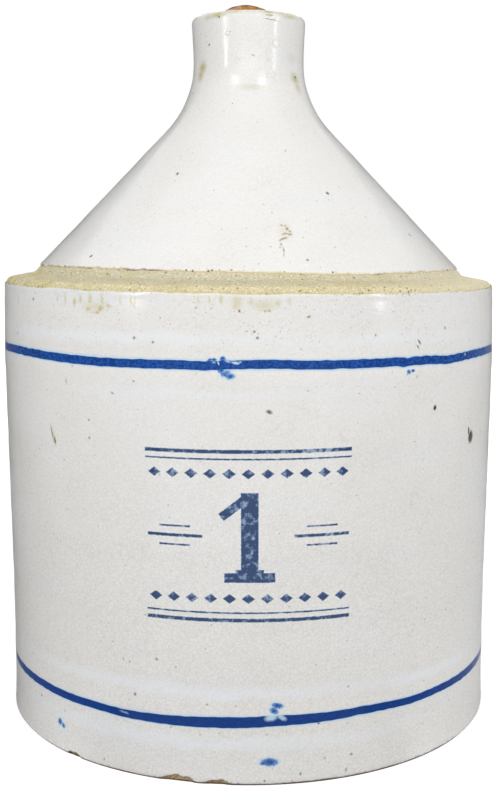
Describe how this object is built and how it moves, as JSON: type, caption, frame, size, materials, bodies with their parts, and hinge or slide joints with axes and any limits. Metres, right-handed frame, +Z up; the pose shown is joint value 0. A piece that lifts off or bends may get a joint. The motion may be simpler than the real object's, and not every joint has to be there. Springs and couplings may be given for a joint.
{
  "type": "stoneware crock jug",
  "caption": "Straight-sided glazed stoneware jug with a cone shoulder, narrow neck, bare ledge, painted bands, strap handle at the back and a cork that pulls out.",
  "frame": {"origin": "centre of the base, on the surface that the jug stands on", "axes": "+Z up along the jug's axis, front towards -Y, handle at +Y"},
  "size_m": [0.1825, 0.1826, 0.258],
  "materials": {
    "bare_clay": "matte",
    "white_glaze": "gloss",
    "cobalt_band": "gloss",
    "cork": "matte"
  },
  "bodies": {
    "jug": {"crock_body": "bare_clay", "cone_top": "bare_clay", "strap_handle": "bare_clay", "wall_glaze": "white_glaze", "cone_glaze": "white_glaze", "handle_glaze": "white_glaze", "lining_glaze": "white_glaze", "upper_band": "cobalt_band", "lower_band": "cobalt_band"},
    "cork": {"cork_stopper": "cork"}
  },
  "joints": [
    {"name": "cork_pull", "type": "slide", "parent": "jug", "child": "cork", "axis": [0, 0, 1], "range_m": [0, 0.06]}
  ]
}
